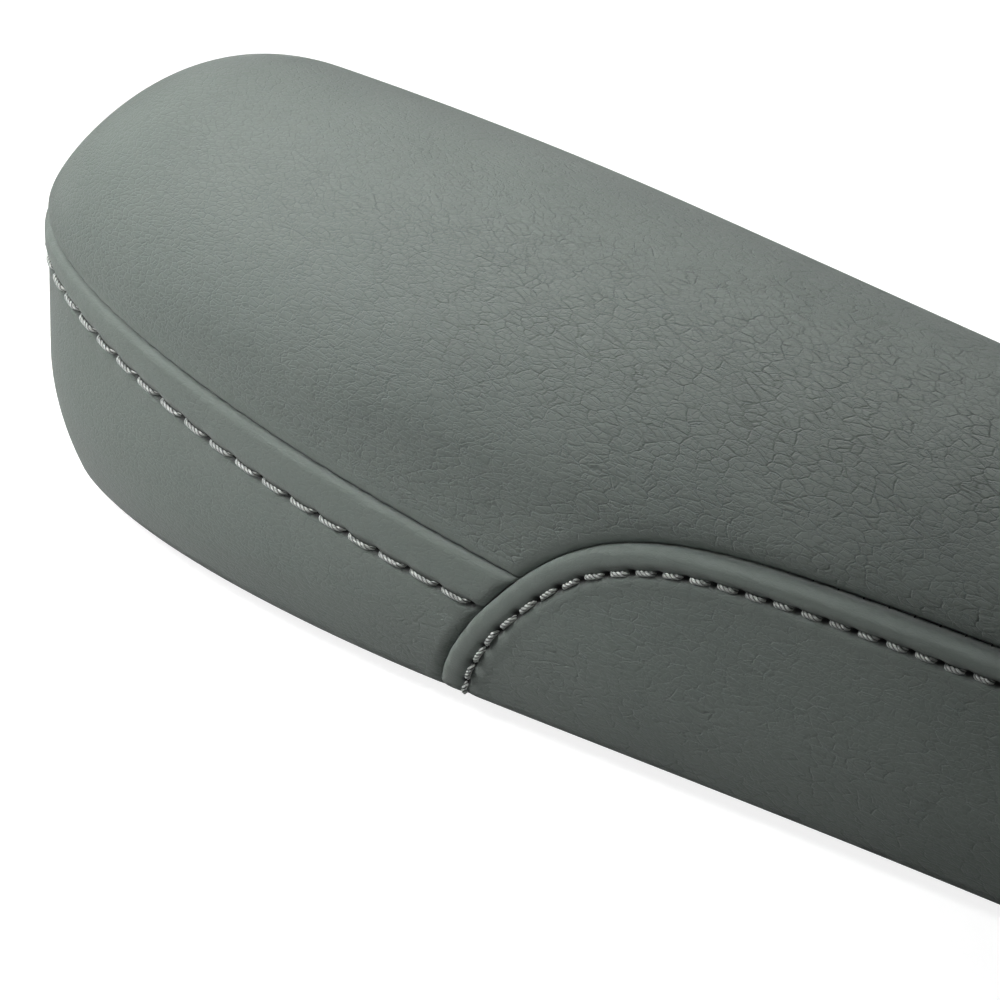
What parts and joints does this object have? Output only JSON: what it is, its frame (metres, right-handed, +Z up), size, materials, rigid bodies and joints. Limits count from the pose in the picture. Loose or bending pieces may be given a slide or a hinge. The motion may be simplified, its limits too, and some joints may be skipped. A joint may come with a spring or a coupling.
{
  "type": "chair armrest pad",
  "caption": "Long upholstered chair armrest pad with a rounded nose, a crowned top and sewn leather panels, which is screwed on from below.",
  "frame": {"origin": "centre of the underside, on the plane of the dust cover", "axes": "+Z up out of the chair arm, +Y along the pad from the rounded nose to the tail, +X to the side"},
  "size_m": [0.0728, 0.2917, 0.0725],
  "materials": {
    "leather": "sage-grey pebbled faux leather, low sheen",
    "thread": "pale grey twisted polyester thread",
    "wadding": "white polyester wadding",
    "soft_foam": "cream open-cell foam",
    "firm_foam": "grey-blue firm foam",
    "plywood": "sanded birch plywood, bare",
    "dust_cover": "black spun non-woven cloth",
    "zinc_steel": "zinc-plated steel"
  },
  "bodies": {
    "root": {"top_panel": "leather", "nose_band": "leather", "side_panel_right": "leather", "side_panel_left": "leather", "topstitch_nose": "thread", "topstitch_right": "thread", "topstitch_left": "thread", "seam_thread_nose": "thread", "seam_thread_right": "thread", "seam_thread_left": "thread", "seam_thread_tail": "thread", "wadding": "wadding", "soft_topper": "soft_foam", "firm_core": "firm_foam", "base_board": "plywood", "dust_cover": "dust_cover", "tee_nut_front": "zinc_steel", "tee_nut_rear": "zinc_steel", "flange_staple_01": "zinc_steel", "flange_staple_02": "zinc_steel", "flange_staple_03": "zinc_steel", "flange_staple_04": "zinc_steel", "flange_staple_05": "zinc_steel", "flange_staple_06": "zinc_steel", "flange_staple_07": "zinc_steel", "flange_staple_08": "zinc_steel", "flange_staple_09": "zinc_steel", "flange_staple_10": "zinc_steel", "flange_staple_11": "zinc_steel", "flange_staple_12": "zinc_steel", "flange_staple_13": "zinc_steel", "flange_staple_14": "zinc_steel", "flange_staple_15": "zinc_steel", "flange_staple_16": "zinc_steel", "flange_staple_17": "zinc_steel", "flange_staple_18": "zinc_steel", "flange_staple_19": "zinc_steel", "flange_staple_20": "zinc_steel", "flange_staple_21": "zinc_steel", "flange_staple_22": "zinc_steel", "flange_staple_23": "zinc_steel", "flange_staple_24": "zinc_steel", "cover_staple_01": "zinc_steel", "cover_staple_02": "zinc_steel", "cover_staple_03": "zinc_steel", "cover_staple_04": "zinc_steel", "cover_staple_05": "zinc_steel", "cover_staple_06": "zinc_steel", "cover_staple_07": "zinc_steel", "cover_staple_08": "zinc_steel"}
  },
  "joints": []
}
